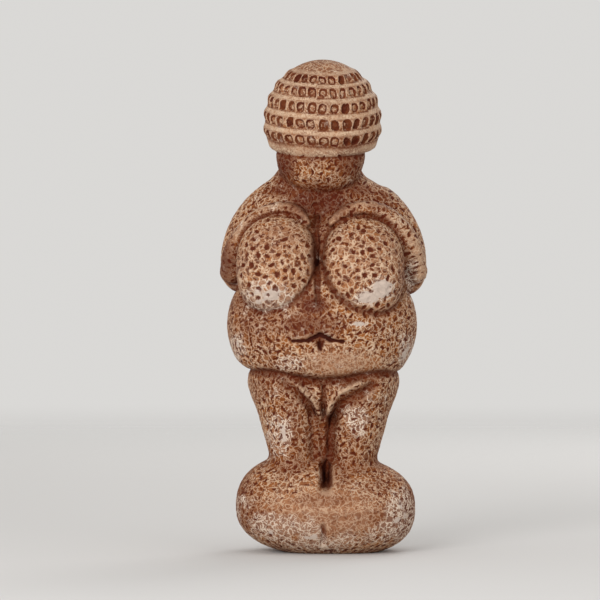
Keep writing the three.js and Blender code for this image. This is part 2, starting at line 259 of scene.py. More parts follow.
def limb(points, shape):
    flatten = np.array((1, 1 / shape.deep, 1))
    spots = points * flatten
    path = shape.path * flatten
    spans = len(path) - 1
    nearest = np.full(len(points), np.inf)
    for i in range(spans):
        along = path[i + 1] - path[i]
        t = np.clip((spots - path[i]) @ along / (along @ along), 0, 1)
        radius = shape.radii[0] + (shape.radii[1] - shape.radii[0]) * (i + t) / spans
        away = np.linalg.norm(spots - path[i] - t[:, None] * along, axis=1)
        nearest = np.minimum(nearest, away - radius)
    return nearest


def joined(a, b, blend):
    h = np.maximum(blend - np.abs(a - b), 0) / blend
    return np.minimum(a, b) - h * h * blend / 4


def kept(a, b, blend):
    return -joined(-a, -b, blend)


def smooth_step(low, high, value):
    t = np.clip((value - low) / (high - low), 0, 1)
    return t * t * (3 - 2 * t)


def hand_drawn(points):
    """The points seen square on, swayed a little so that strokes don't run quite true."""
    x, z = points[:, 0], points[:, 2]
    sway = HAND_SWAY * np.sin(1.1 * z + 0.8 * x) + HAND_TREMOR * np.sin(3.3 * z - 1.9 * x)
    heave = HAND_SWAY * np.sin(1.1 * x - 0.6 * z) + HAND_TREMOR * np.sin(3.1 * x + 2.3 * z)
    return np.column_stack((x + sway, z + heave))


def distance_to_path(spots, path):
    nearest = np.full(len(spots), np.inf)
    for start, end in zip(path, path[1:]):
        along = end - start
        t = np.clip((spots - start) @ along / (along @ along), 0, 1)
        nearest = np.minimum(nearest, np.linalg.norm(spots - start - t[:, None] * along, axis=1))
    return nearest


def carving(strokes, points):
    """What a set of strokes takes away at each point."""
    spots = hand_drawn(points)
    cut = np.zeros(len(points))
    for s in strokes.values():
        cut += s.depth * np.exp(-((distance_to_path(spots, s.path) / s.width) ** 2))
    return cut


def stroke_stain(strokes, points):
    """How dark the paint lies in a set of strokes at each point."""
    spots = hand_drawn(points)
    stain = np.zeros(len(points))
    for s in strokes.values():
        if s.stain:
            lain = s.stain * np.exp(-((distance_to_path(spots, s.path) / (STAIN_WIDTH * s.width)) ** 4))
            stain = np.maximum(stain, lain)
    return stain


def by_side(points, front, back):
    """The front's value at points on her front, and the back's elsewhere."""
    return np.where(points[:, 1] < 0, front, back)


def on_front(points):
    """1 on her front, fading out at her sides."""
    return smooth_step(*SIDE_FADE, points[:, 1])


def foot(points):
    x, y, z = points.T
    above = z - FOOT_WIDEST_AT
    above = above + FOOT_LEAN * x * np.clip(above / FOOT_OVER_ROUND, 0, 1)
    below = np.clip(-above / FOOT_WIDEST_AT, 0, 1)
    across = x + BODY_ACROSS - GIRTH_ACROSS * (1 - below**2)
    upward = np.clip(above / FOOT_OVER_ROUND, 0, 1)
    half_depth = FOOT_DEPTH / 2 * (1 - FOOT_NARROWING * upward)
    rounding = np.where(above > 0, FOOT_OVER_ROUND, FOOT_UNDER_ROUND)
    shares = (across / (FOOT_WIDTH / 2), y / half_depth, above / rounding)
    reach = sum(np.abs(v) ** FOOT_SQUARENESS for v in shares) ** (1 / FOOT_SQUARENESS)
    return (reach - 1) * FOOT_OVER_ROUND


def legs(points):
    return joined(limb(points, LEGS[0]), limb(points, LEGS[1]), LEG_BLEND)


def yoke(points):
    end = YOKE_END + YOKE_END_TILT * points[:, 0]
    return kept(ellipsoid(points, YOKE), end - points[:, 2], YOKE_END_ROUND)


def buttocks(points):
    return joined(ellipsoid(points, BUTTOCKS[0]), ellipsoid(points, BUTTOCKS[1]), BUTTOCK_BLEND)


def belly(points):
    across = points[:, 0]
    crease = CREASE_MIDDLE + CREASE_RISE * (across / CREASE_REACH) ** 2 + CREASE_TILT * across
    return kept(ellipsoid(points, BELLY), crease - points[:, 2], CREASE_ROUND)


def breast(points, shape):
    c, s = math.cos(BREAST_SAG), math.sin(BREAST_SAG)
    x, y, z = (points - shape.at).T
    turned = np.column_stack((x, c * y - s * z, s * y + c * z)) + shape.at
    return ellipsoid(turned, shape)


def breasts(points):
    return joined(breast(points, BREASTS[0]), breast(points, BREASTS[1]), BREAST_BLEND)


# The forms melted onto the legs, in this order: how softly, how deep a groove is cut along the seam, and how
# dark the paint lies in it.
Form = namedtuple("Form", "distance blend groove stain")
BODY_FORMS = (
    Form(lambda p: limb(p, WEB), 0.8, 0, 0),
    Form(lambda p: ellipsoid(p, HIPS), 3, 0, 0),
    Form(lambda p: ellipsoid(p, CHEST), 3, 0, 0),
    Form(lambda p: ellipsoid(p, NECK), 3, 0, 0.2),
    Form(yoke, 3, 0, 0.1),
    Form(buttocks, 1.5, 0.1, 0.3),
    Form(belly, 0.5, 0.2, 0.75),
    Form(breasts, 0.6, 0.4, 0.75),
    Form(lambda p: limb(p, FOREARMS[0]), 0.6, 0.5, 0.9),
    Form(lambda p: limb(p, FOREARMS[1]), 0.6, 0.5, 0.9),
    Form(lambda p: ellipsoid(p, FACE), 1, 0.2, 0.6),
)


def on_cap(points):
    """Each point on the cap: its angle above the girth, its turn from the front, and how far up and out."""
    offset = points - CAP.at
    up = offset @ HEAD_UP
    front = offset @ HEAD_FRONT
    out = np.hypot(offset[:, 0] / CAP.radii[0], front / CAP.radii[1])
    turn = np.arctan2(offset[:, 0], front)
    angle = np.degrees(np.arctan2(up / CAP.radii[2], out))
    angle += ROLL_SWAY * (np.sin(2 * turn + 0.6) + 0.5 * np.sin(5 * turn))
    return angle, turn, up, out


Notch = namedtuple("Notch", "shift width height tilt depth")


def cut_notches(seed):
    """Each notch's own place, size, tilt and depth, roll by roll, as shares of the even ones."""
    rng = np.random.default_rng(seed)
    spans = Notch(shift=(-0.1, 0.1), width=(0.85, 1.2), height=(0.85, 1.1), tilt=(-0.3, 0.3), depth=(0.5, 1))
    return [Notch(*(rng.uniform(*span, count) for span in spans)) for count in NOTCHES]


CUT_NOTCHES = cut_notches(NOTCH_SEED)


def roll_and_share(angle):
    """Which roll each angle is on, and how far up that roll."""
    place = (angle - LOWEST_ROLL_ANGLE) / ROLL_PITCH
    roll = np.clip(np.floor(place), 0, ROLLS - 1).astype(int)
    return roll, place - roll


def notches(angle, turn):
    """How deep in a notch each point of the cap is, from 0 to 1, and how much wash lies there.

    The wash gathers at the foot of a notch's walls, and fills only the deeper notches.
    """
    roll, within = roll_and_share(angle)
    upward = (within - (NOTCH_LOW + NOTCH_HIGH) / 2) / (NOTCH_HIGH - NOTCH_LOW) * 2
    deep = np.zeros(len(angle))
    wash = np.zeros(len(angle))
    for i, count in enumerate(NOTCHES):
        steps = turn / (2 * math.pi) * count
        number = np.floor(steps + 0.5).astype(int)
        cut = Notch(*(values[number % count] for values in CUT_NOTCHES[i]))
        aside = (steps - number - cut.shift) / (NOTCH_SHARE / 2) + cut.tilt * upward
        across = np.abs(aside / cut.width) ** NOTCH_SQUARENESS
        reach = (across + np.abs(upward / cut.height) ** NOTCH_SQUARENESS) ** (1 / NOTCH_SQUARENESS)
        floor = 1 - smooth_step(*NOTCH_EDGE, reach)
        on_walls = seam(reach, NOTCH_WALL, NOTCH_WALL_WIDTH)
        filled = smooth_step(*FILLED_FLOOR, reach) * smooth_step(*FILLED_DEPTH, cut.depth)
        deep = np.where(roll == i, floor * cut.depth, deep)
        wash = np.where(roll == i, np.maximum(on_walls, filled), wash)
    return deep, wash


def cap_relief(angle, turn):
    """The relief of the cap's rolls, out of the cap's own ellipsoid."""
    roll, within = roll_and_share(angle)
    on_rolls = (within >= 0) & (within <= 1)
    rise = np.array(ROLL_RISES)[roll] * np.sin(np.pi * within) ** 2 * on_rolls
    return rise - NOTCH_DEPTH * notches(angle, turn)[0]


def cap(points):
    angle, turn, up, out = on_cap(points)
    shell = (np.hypot(out, up / CAP.radii[2]) - 1) * CAP.radii[0] - cap_relief(angle, turn)
    return kept(shell, BRIM_AT - up, BRIM_ROUND)


def seam(a, b, width):
    return np.exp(-(((a - b) / width) ** 2))


def body(points):
    """The body's distance, and how dark the paint lies along the seams of its forms."""
    d = legs(points)
    stain = np.zeros(len(points))
    for form in BODY_FORMS:
        other = form.distance(points)
        stain = np.maximum(np.where(other < d, 0, stain), form.stain * seam(d, other, SEAM_STAIN_WIDTH))
        d = joined(d, other, form.blend) + form.groove * seam(d, other, SEAM_WIDTH)
    d = d + by_side(points, carving(FRONT_STROKES, points), carving(BACK_STROKES, points))
    top = cap(points)
    # Under the brim the seam's dark paint is a painted shadow of the brim as well as wash in the seam.
    stain = np.maximum(np.where(top < d, 0, stain), seam(d, top, SEAM_STAIN_WIDTH) * (top > d))
    return joined(d, top, CAP_BLEND) + CAP_GROOVE * seam(d, top, SEAM_WIDTH) * (top > d), stain


def figure(points):
    """Distance from each point to the whole figurine, and how dark the paint lies along its seams."""
    d, stain = body(points)
    cut_foot = foot(points) + by_side(points, carving(FOOT_STROKES, points), 0)
    stain = np.maximum(np.where(cut_foot < d, 0, stain), FOOT_STAIN * seam(d, cut_foot, FOOT_STAIN_WIDTH))
    d = joined(d, cut_foot, FOOT_BLEND)
    return joined(d, limb(points, CORE), CORE_BLEND), stain


def cap_axis(angle):
    return CAP.at + HEAD_UP * CAP.radii[2] * math.sin(math.radians(angle))


def rings():
    """The middle and the lean of each ring of the grid, from the ground to the crown."""
    made = []
    start = 0
    for end, step in BODY_BANDS:
        count = round((end - start) / step)
        made += [(np.array((0, 0, z)), 0) for z in np.linspace(start, end, count, endpoint=False)]
        start = end
    neck_low = np.array((0, 0, start))
    neck_high = cap_axis(BRIM_ANGLE - 1)
    for t in np.linspace(0, 1, NECK_RINGS, endpoint=False):
        made.append((neck_low + (neck_high - neck_low) * t, BOWED * t))
    for angle in np.arange(BRIM_ANGLE - 1, LAST_RING_ANGLE, CAP_RING_STEP):
        made.append((cap_axis(angle), BOWED))
    return made


def rays():
    """Where each ray of the grid starts and which way it goes, ring by ring."""
    even = np.linspace(0, 2 * math.pi, COLUMNS, endpoint=False)
    turn = even - FRONT_CROWDING * np.sin(even)
    starts, ways = [], []
    for middle, lean in rings():
        front = np.array((0, -math.cos(lean), -math.sin(lean)))
        ways.append(np.outer(np.sin(turn), (1, 0, 0)) + np.outer(np.cos(turn), front))
        starts.append(np.tile(middle, (COLUMNS, 1)))
    return np.vstack(starts), np.vstack(ways)


def outermost(starts, ways):
    """The figure's outermost point on each ray."""
    outer = np.full(len(starts), float(RAY_LENGTH))
    inner = outer.copy()
    going = np.arange(len(starts))
    while len(going):
        d = figure(starts[going] + inner[going, None] * ways[going])[0]
        going, d = going[d > 0], d[d > 0]
        outer[going] = inner[going]
        inner[going] -= np.maximum(RAY_STEP * d, RAY_LEAST_STEP)
    for _ in range(RAY_HALVINGS):
        middle = (inner + outer) / 2
        outside = figure(starts + middle[:, None] * ways)[0] > 0
        outer = np.where(outside, middle, outer)
        inner = np.where(outside, inner, middle)
    return starts + ((inner + outer) / 2)[:, None] * ways


def grid_faces(ring_count):
    """Quads between the rings, with a fan to the middle of the underside and one to the crown."""
    column = np.arange(COLUMNS)
    following = (column + 1) % COLUMNS
    crown = 1 + ring_count * COLUMNS
    faces = [(0, 1 + int(b), 1 + int(a)) for a, b in zip(column, following)]
    for r in range(ring_count - 1):
        low, high = 1 + r * COLUMNS, 1 + (r + 1) * COLUMNS
        faces += np.column_stack((low + column, low + following, high + following, high + column)).tolist()
    last = 1 + (ring_count - 1) * COLUMNS
    faces += [(last + int(a), last + int(b), crown) for a, b in zip(column, following)]
    return faces


def on_grid(values):
    return values.reshape(-1, COLUMNS, *values.shape[1:])


def beside(grid):
    """Each grid point's neighbours above, below and to both sides."""
    return (
        np.concatenate((grid[1:], grid[-1:])),
        np.concatenate((grid[:1], grid[:-1])),
        np.roll(grid, 1, 1),
        np.roll(grid, -1, 1),
    )


def laid_on(points):
    """The points brought onto the figure's surface along its slope."""
    d = figure(points)[0]
    slope = np.zeros(points.shape)
    for axis in range(3):
        slope[:, axis] = (figure(points + np.eye(3)[axis] * SLOPE_STEP)[0] - d) / SLOPE_STEP
    steep = np.maximum((slope**2).sum(axis=1), LEAST_STEEPNESS)
    return points - slope * np.clip(d / steep, -LARGEST_LAY, LARGEST_LAY)[:, None]


def settled(skin):
    """The grid evened out where the rays ran along the surface, and laid back on it."""
    grid = on_grid(skin)
    stretch = np.max([np.linalg.norm(side - grid, axis=2) for side in beside(grid)], axis=0)
    uneven = stretch > STRETCHED
    uneven[[0, -1]] = False
    for _ in range(SETTLED_MARGIN):
        uneven = np.max([uneven, *beside(uneven)], axis=0)
    uneven[[0, -1]] = False
    moving = uneven.ravel()
    skin = skin.copy()
    for _ in range(SETTLING_ROUNDS):
        grid = on_grid(skin)
        evened = (sum(beside(grid)) / 4).reshape(-1, 3)
        skin[moving] = laid_on((skin[moving] + 2 * evened[moving]) / 3)
    skin[moving] = laid_on(skin[moving])
    return skin


def grid_surface():
    """The figurine's surface as a mesh, still in hundredths of its height."""
    starts, ways = rays()
    skin = settled(outermost(starts, ways))
    crown = outermost(cap_axis(0)[None], HEAD_UP[None])
    underside = np.array([(-BODY_ACROSS, 0, 0)])
    points = np.vstack((underside, skin, crown))
    mesh = bpy.data.meshes.new("figurine_casting")
    mesh.from_pydata(points.tolist(), [], grid_faces(len(skin) // COLUMNS))
    mesh.update()
    return mesh


def coordinates(mesh):
    flat = np.zeros(len(mesh.vertices) * 3)
    mesh.vertices.foreach_get("co", flat)
    return flat.reshape(-1, 3)


def vertex_normals(mesh):
    flat = np.zeros(len(mesh.vertices) * 3)
    mesh.vertex_normals.foreach_get("vector", flat)
    return flat.reshape(-1, 3)


def set_coordinates(mesh, points):
    mesh.vertices.foreach_set("co", points.ravel())
    mesh.update()


def noise_at(points, size):
    """Smooth noise from about -1 to 1 whose lumps are roughly `size` across."""
    return np.array([noise.noise(Vector(p) / size) for p in points])


def spread(values, rounds):
    """Values on the mesh's points, evened out with their neighbours a number of times."""
    grid = on_grid(values[1:-1])
    for _ in range(rounds):
        grid = (2 * grid + sum(beside(grid))) / 6
    return np.concatenate((values[:1], grid.reshape(values[1:-1].shape), values[-1:]))


def bulge(points, normals, rounds):
    """How far each point stands out of its surroundings."""
    return ((points - spread(points, rounds)) * normals).sum(axis=1)


# The tool marks, each with a rim thrown up round it: round pits on the breasts, and short bent gouges
# everywhere else below the cap.
Marks = namedtuple("Marks", "spacing length width bend depth rim")
PITS = Marks(spacing=1.45, length=(0.45, 0.95), width=(0.36, 0.62), bend=0.3, depth=0.3, rim=0.08)
GOUGES = Marks(spacing=1.2, length=(0.4, 1), width=(0.25, 0.42), bend=0.8, depth=0.17, rim=0.08)
UNEVEN_SPACING = (0.75, 1.4)
MARK_STRENGTHS = (0.4, 1)
MARK_EDGE = (0.5, 1.1)  # where a mark's floor ends and where its walls do, as shares of its reach
RIM_AT = 1.35
RIM_WIDTH = 0.3
MARK_TOUCHES = 1.9  # how many of its lengths from its middle a mark still matters
TOOL_SEED = 11
NEAR = 0.2  # what is this near to a form counts as on it
PITTED_FROM = 0.2  # pits lie where a pitted place is fuller than this
FADE_ABOVE_GROUND = (0.3, 1.5)
BACK_LUMP = 7  # the size of the places on her back that the tools left smooth
BACK_SMOOTHED = (0, 0.5)  # where a noise from -1 to 1 begins to smooth them, and where they are smooth
BROAD_ROUNDS = 40  # of evening out, to tell what bulges broadly, and what does so finely
FINE_ROUNDS = 4
HOLLOW_PROBES = ((0.8, 0.35), (2, 0.35), (4, 0.3), (8, 0.3))  # how far out each feels, and its weight


def scattered(tree, points, spacing, where, rng):
    """Indices of points, taken at random, that keep their spacing from each other."""
    free = where.copy()
    taken = []
    for i in rng.permutation(len(points)):
        if free[i]:
            taken.append(i)
            for _, j, _ in tree.find_range(points[i], spacing * rng.uniform(*UNEVEN_SPACING)):
                free[j] = False
    return taken


def press(tree, points, normals, marks, where, rng):
    """Presses in one kind of mark. Gives how deep in a mark and how high on a rim each point is, up to 1."""
    floor = np.zeros(len(points))
    rim = np.zeros(len(points))
    for i in scattered(tree, points, marks.spacing, where, rng):
        length = rng.uniform(*marks.length)
        width = rng.uniform(*marks.width)
        bend = rng.uniform(-marks.bend, marks.bend)
        turn = rng.uniform(0, math.pi)
        strength = rng.uniform(*MARK_STRENGTHS)
        side = np.cross(normals[i], (0, 0, 1))
        side /= max(np.linalg.norm(side), 1e-6)
        upward = np.cross(side, normals[i])
        along = math.cos(turn) * side + math.sin(turn) * upward
        across = np.cross(normals[i], along)
        near = np.array([j for _, j, _ in tree.find_range(points[i], MARK_TOUCHES * length)])
        offset = points[near] - points[i]
        ahead = offset @ along
        aside = offset @ across - bend * ahead**2
        reach = np.hypot(ahead / length, aside / width)
        floor[near] = np.maximum(floor[near], strength * (1 - smooth_step(*MARK_EDGE, reach)))
        rim[near] = np.maximum(rim[near], strength * seam(reach, RIM_AT, RIM_WIDTH))
    rim = rim * (1 - np.minimum(2 * floor, 1))
    return floor, rim


def hollowness(points, normals):
    """How shut in each point is, from 0 on open surface to about 1 deep in a crease."""
    shut = np.zeros(len(points))
    for reach, weight in HOLLOW_PROBES:
        open_air = figure(points + normals * reach)[0]
        shut += weight * np.clip(1 - open_air / reach, 0, 1)
    return spread(np.clip(shut, 0, 1), 3)


# Places on her front: across, height, the reach each way, and how strongly. Handling has rubbed some pale,
# and some are painted light, paler where the lamps reach the foot and thighs less. The shaded places hold
# painted shade, under the chin, the brim and the breasts and on the crown, as well as wash left on them.
RUBBED_AND_LIT = (
    (-11.3, 52, 4.8, 3.2, 1),
    (8.6, 51.6, 2.6, 1.8, 1.3),
    (11.6, 53.5, 2.6, 2.4, 1.4),
    (-7, 38.4, 3, 1.6, 0.7),
    (-17.4, 41.2, 2, 3.4, 0.65),
    (16.8, 40.6, 2, 3.8, 0.9),
    (-9, 23.6, 2.6, 4.6, 0.8),
    (6.4, 27.4, 2.6, 3, 0.5),
    (-10, 6, 5.4, 3.4, 0.7),
    (0, 2.6, 10, 2, 0.6),
    (11, 4.6, 4, 3, 0.4),
    (-2.6, 4.8, 2.6, 2.6, 1),
    (-17, 9, 2.4, 4, 0.3),
    (15.4, 7.6, 3, 6, 0.85),
    (18, 55, 1.4, 4, 0.9),
    (7, 46.4, 1.9, 0.6, 1.5),
)
SHADED = (
    (-0.2, 98.5, 9, 2.6, 0.35),
    (-8, 78, 3.2, 5, 1.2),
    (5, 79, 4, 4.5, 1.1),
    (-1.6, 80, 4, 3, 0.6),
    (-1, 71, 8.6, 4.4, 1.4),
    (-8.4, 73.4, 4.6, 2, 1.15),
    (7.6, 73.4, 4, 1.8, 1.1),
    (-9.5, 63.4, 6, 3, 0.4),
    (8, 63.4, 6, 3, 0.25),
    (-1, 66, 2.4, 5, 0.8),
    (-12, 70.4, 4, 3.4, 0.3),
    (11, 71, 5, 3.4, 0.75),
    (-20.2, 59, 2.7, 9, 1.15),
    (16.8, 57, 1.8, 5, 0.5),
    (-2, 50, 4, 2.6, 1.3),
    (-3, 46.2, 8, 3.2, 1.1),
    (-17.8, 50.4, 2, 2, 0.8),
    (-13, 46.2, 7, 4.8, 0.7),
    (13, 48, 6, 3, 0.3),
    (0, 35, 9, 1.2, 0.6),
    (-12, 33.6, 3.4, 2.4, 0.6),
    (5, 31, 3.4, 1.8, 0.8),
    (0.8, 21, 1.6, 6, 0.6),
    (3.4, 16.2, 2.6, 3, 0.7),
    (0.5, 11.2, 8, 1.6, 0.6),
    (-12, 13.4, 3.4, 2.6, 0.3),
    (12, 14, 5, 2, 0.4),
)
# Places that the tools left smooth, and the pitted ones.
SMOOTH = (
    (3.4, 38.6, 9, 3, 0.8),
    (0, 8, 15, 7, 0.8),
    (-8, 65, 4, 2, 0.4),
    (-4, 50, 4, 4, 0.4),
)
PITTED = (
    (-9.6, 56.6, 7.6, 8.4, 1),
    (8, 56, 8.2, 9, 1),
)
PLACE_EDGE = (0.3, 1.4)  # a place is full up to the first of these shares of its reach, and gone at the last


def patches(points, places):
    cover = np.zeros(len(points))
    for across, height, half_width, half_height, strength in places:
        reach = np.hypot((points[:, 0] - across) / half_width, (points[:, 2] - height) / half_height)
        cover = np.maximum(cover, strength * (1 - smooth_step(*PLACE_EDGE, reach)))
    return cover * on_front(points)


def raised_paint(points):
    """Where the folds stand proud, and the paint brushed on them is thickest."""
    spots = hand_drawn(points)
    paint = np.zeros(len(points))
    for s in FRONT_STROKES.values():
        if s.depth < 0:
            reach = distance_to_path(spots, s.path) / (PROUD_PAINT_WIDTH * s.width)
            paint = np.maximum(paint, np.exp(-(reach**4)))
    return paint * on_front(points)


def bands(angle):
    """How smooth and bright the cap is painted: its bands and its brim are, and its crown is less so."""
    _, within = roll_and_share(angle)
    band = smooth_step(NOTCH_HIGH - BAND_EDGE, NOTCH_HIGH + BAND_EDGE, within)
    brim = smooth_step(0, BRIM_FADE, within)
    crown = smooth_step(CROWN_ANGLE - CROWN_EDGE, CROWN_ANGLE + CROWN_EDGE, angle)
    return (band + brim) * (1 - CROWN_DULLED * crown)


def row_edges(angle):
    """Where the wash has run along the lower and the upper edge of each row of notches."""
    _, within = roll_and_share(angle)
    low = seam(within, LOW_EDGE, LOW_EDGE_WIDTH)
    high = HIGH_EDGE_WASH * seam(within, NOTCH_HIGH, HIGH_EDGE_WIDTH)
    return np.maximum(low, high) * (angle < CROWN_ANGLE + 1)


def tool_marks(points, normals, pitted, gouged):
    """The relief of the tool marks, and how deep in a mark and how high on a rim each point is."""
    tree = kdtree.KDTree(len(points))
    for i, p in enumerate(points):
        tree.insert(p, i)
    tree.balance()
    rng = np.random.default_rng(TOOL_SEED)
    relief, pit, rim = np.zeros((3, len(points)))
    for marks, where in ((PITS, pitted), (GOUGES, gouged)):
        pressed, thrown = press(tree, points, normals, marks, where, rng)
        relief += marks.rim * thrown - marks.depth * pressed
        pit = np.maximum(pit, pressed)
        rim = np.maximum(rim, thrown)
    return relief, pit, rim


def all_stain(points, angle, in_cap):
    """How dark the paint lies in strokes and seams, and along the rows of notches."""
    strokes = np.maximum(stroke_stain(FRONT_STROKES, points), stroke_stain(FOOT_STROKES, points))
    stain = by_side(points, strokes, stroke_stain(BACK_STROKES, points))
    return np.where(in_cap, 0.9 * row_edges(angle), np.maximum(stain, figure(points)[1]))


# What is noted on each point of the mesh for the paint.
Noted = namedtuple(
    "Noted",
    "hollow stain shaded worn pit rim tooled notched banded pitted fine_bulge broad_bulge",
)


def tool_marked(mesh):
    """Presses in the tool marks, and notes where paint gathers and wears and where it paints shade and light.
    """
    points = coordinates(mesh)
    normals = vertex_normals(mesh)
    angle, turn, _, _ = on_cap(points)
    in_cap = cap(points) < NEAR
    pitted = (patches(points, PITTED) > PITTED_FROM) & (breasts(points) < NEAR)
    relief, pit, rim = tool_marks(points, normals, pitted, ~pitted & ~in_cap)
    behind = smooth_step(*BACK_SMOOTHED, noise_at(points, BACK_LUMP)) * (1 - on_front(points))
    tooled = 1 - np.maximum(patches(points, SMOOTH), behind)
    relief *= tooled * smooth_step(*FADE_ABOVE_GROUND, points[:, 2])
    marked = points + normals * relief[:, None]
    set_coordinates(mesh, marked)
    noted = Noted(
        hollow=hollowness(points, normals),
        stain=all_stain(points, angle, in_cap),
        shaded=patches(points, SHADED),
        worn=patches(points, RUBBED_AND_LIT),
        pit=pit * tooled,
        rim=rim * tooled,
        tooled=np.where(in_cap, 0.5 + 0.3 * (angle > CROWN_ANGLE), tooled),
        notched=notches(angle, turn)[1] * in_cap,
        banded=np.where(in_cap, bands(angle), raised_paint(points)),
        pitted=spread(pitted.astype(float), 3),
        fine_bulge=bulge(marked, vertex_normals(mesh), FINE_ROUNDS),
        broad_bulge=bulge(points, normals, BROAD_ROUNDS),
    )
    for name, values in noted._asdict().items():
        attribute = mesh.attributes.new(name, "FLOAT", "POINT")
        attribute.data.foreach_set("value", values.astype(np.float32))


def to_frame(mesh, top):
    """Moves the mesh off the body's axis to the frame's origin, and scales it to the solid's own height."""
    points = coordinates(mesh) + np.array((BODY_ACROSS, 0, 0))
    set_coordinates(mesh, points * (top / points[:, 2].max()))


# Materials.


class Graph:
    """A material's nodes, added and wired one short call at a time."""

    def __init__(self, name):
        self.material = bpy.data.materials.new(name)
        self.material.use_nodes = True
        self.nodes = self.material.node_tree.nodes
        self.links = self.material.node_tree.links
        self.nodes.clear()

    def set(self, socket, value):
        if isinstance(value, bpy.types.NodeSocket):
            self.links.new(value, socket)
        else:
            socket.default_value = value

    def math(self, operation, a, b):
        node = self.nodes.new("ShaderNodeMath")
        node.operation = operation
        self.set(node.inputs[0], a)
        self.set(node.inputs[1], b)
        return node.outputs[0]

    def times(self, *values):
        product = values[0]
        for value in values[1:]:
            product = self.math("MULTIPLY", product, value)
        return product

    def most(self, *values):
        top = values[0]
        for value in values[1:]:
            top = self.math("MAXIMUM", top, value)
        return top

    def less(self, a, b):
        """How much of a is left where b is full."""
        return self.math("MULTIPLY", a, self.math("SUBTRACT", 1.0, b))

    def attribute(self, name):
        node = self.nodes.new("ShaderNodeAttribute")
        node.attribute_name = name
        return node.outputs["Fac"]

    def ramp(self, value, low, high, reaching=1.0, leaving=0.0):
        """Goes smoothly from `leaving` at low to `reaching` at high."""
        node = self.nodes.new("ShaderNodeMapRange")
        node.interpolation_type = "SMOOTHSTEP"
        self.set(node.inputs["Value"], value)
        node.inputs["From Min"].default_value = low
        node.inputs["From Max"].default_value = high
        node.inputs["To Min"].default_value = leaving
        node.inputs["To Max"].default_value = reaching
        return node.outputs["Result"]

    def mixed(self, factor, a, b):
        node = self.nodes.new("ShaderNodeMix")
        node.data_type = "RGBA"
        self.set(node.inputs["Factor"], factor)
        self.set(node.inputs[6], a)
        self.set(node.inputs[7], b)
        return node.outputs[2]

    def noise(self, where, scale, detail, output="Fac"):
        node = self.nodes.new("ShaderNodeTexNoise")
        self.links.new(where, node.inputs["Vector"])
        node.inputs["Scale"].default_value = scale
        node.inputs["Detail"].default_value = detail
        return node.outputs[output]

    def swing(self, noise_value, amount):
        """A noise of 0 to 1 turned into a swing either way."""
        return self.math("MULTIPLY", self.math("SUBTRACT", noise_value, 0.5), amount)

    def wandering(self, where, scale, amount):
        """The place shifted by a smooth noise, so that what is drawn there wanders."""
        shift = self.nodes.new("ShaderNodeVectorMath")
        shift.operation = "MULTIPLY_ADD"
        self.links.new(self.noise(where, scale, 2, "Color"), shift.inputs[0])
        shift.inputs[1].default_value = (amount, amount, amount)
        self.links.new(where, shift.inputs[2])
        return shift.outputs[0]

    def cells(self, where, scale, feature, output):
        node = self.nodes.new("ShaderNodeTexVoronoi")
        node.feature = feature
        self.links.new(where, node.inputs["Vector"])
        node.inputs["Scale"].default_value = scale
        return node.outputs[output]

    def bump(self, height, distance, strength):
        node = self.nodes.new("ShaderNodeBump")
        node.inputs["Strength"].default_value = strength
        node.inputs["Distance"].default_value = distance
        self.links.new(height, node.inputs["Height"])
        return node.outputs["Normal"]

    def finish(self, colour, roughness, specular, normal=None, alpha=1.0):
        shader = self.nodes.new("ShaderNodeBsdfPrincipled")
        self.set(shader.inputs["Base Color"], colour)
        self.set(shader.inputs["Roughness"], roughness)
        shader.inputs["Specular IOR Level"].default_value = specular
        self.set(shader.inputs["Alpha"], alpha)
        if normal:
            self.links.new(normal, shader.inputs["Normal"])
        out = self.nodes.new("ShaderNodeOutputMaterial")
        self.links.new(shader.outputs["BSDF"], out.inputs["Surface"])
        return self.material


TAN = (0.25, 0.1, 0.042, 1)
OCHRE = (0.29, 0.098, 0.023, 1)
RUST = (0.18, 0.05, 0.013, 1)
PINK_CREAM = (0.36, 0.19, 0.11, 1)
CREAM = (0.6, 0.43, 0.295, 1)
CHALK = (0.63, 0.51, 0.41, 1)
WORN_AND_LIT_WHITE = (0.5, 0.4, 0.335, 1)
BROWN = (0.12, 0.027, 0.007, 1)
# The wash's red-brown, which also paints shade in the darkest shaded places.
WASH_AND_SHADE = (0.073, 0.009, 0.002, 1)
DEEPEST = (0.042, 0.007, 0.003, 1)
SPECULAR = 0.08
ROUGHNESS = 0.6
BUMP_DEPTH = 0.12  # millimetres
BUMP_STRENGTH = 0.7

# The scales of what is drawn on the resin, in repeats to a millimetre.
BROAD_SCALE = 0.13
MEDIUM_SCALE = 0.4
GRAIN_SCALE = 2.4
BREAK_SCALE = 1.1
NET_SCALE = 0.75
FINE_NET_SCALE = 1.15
WANDERS = ((0.5, 1.6), (1.6, 0.7))  # of the noises that shift the nets, each with its shift in millimetres
Drawn = namedtuple("Drawn", "broad medium grain ragged uneven breaks edge each fine_edge")


def drawn_textures(g, millimetre):
    """Noises from broad lumps to grain, and the cells of a net and of a finer one."""
    here = g.nodes.new("ShaderNodeTexCoord").outputs["Object"]
    per_mm = 1 / millimetre
    medium = g.noise(here, MEDIUM_SCALE * per_mm, 4)
    grain = g.noise(here, GRAIN_SCALE * per_mm, 3)
    warped = here
    for scale, amount in WANDERS:
        warped = g.wandering(warped, scale * per_mm, amount * millimetre)
    return Drawn(
        broad=g.noise(here, BROAD_SCALE * per_mm, 3),
        medium=medium,
        grain=grain,
        ragged=g.swing(grain, 1.4),
        uneven=g.swing(medium, 1.6),
        breaks=g.noise(here, BREAK_SCALE * per_mm, 1),
        edge=g.cells(warped, NET_SCALE * per_mm, "DISTANCE_TO_EDGE", "Distance"),
        each=g.cells(warped, NET_SCALE * per_mm, "F1", "Color"),
        fine_edge=g.cells(warped, FINE_NET_SCALE * per_mm, "DISTANCE_TO_EDGE", "Distance"),
    )


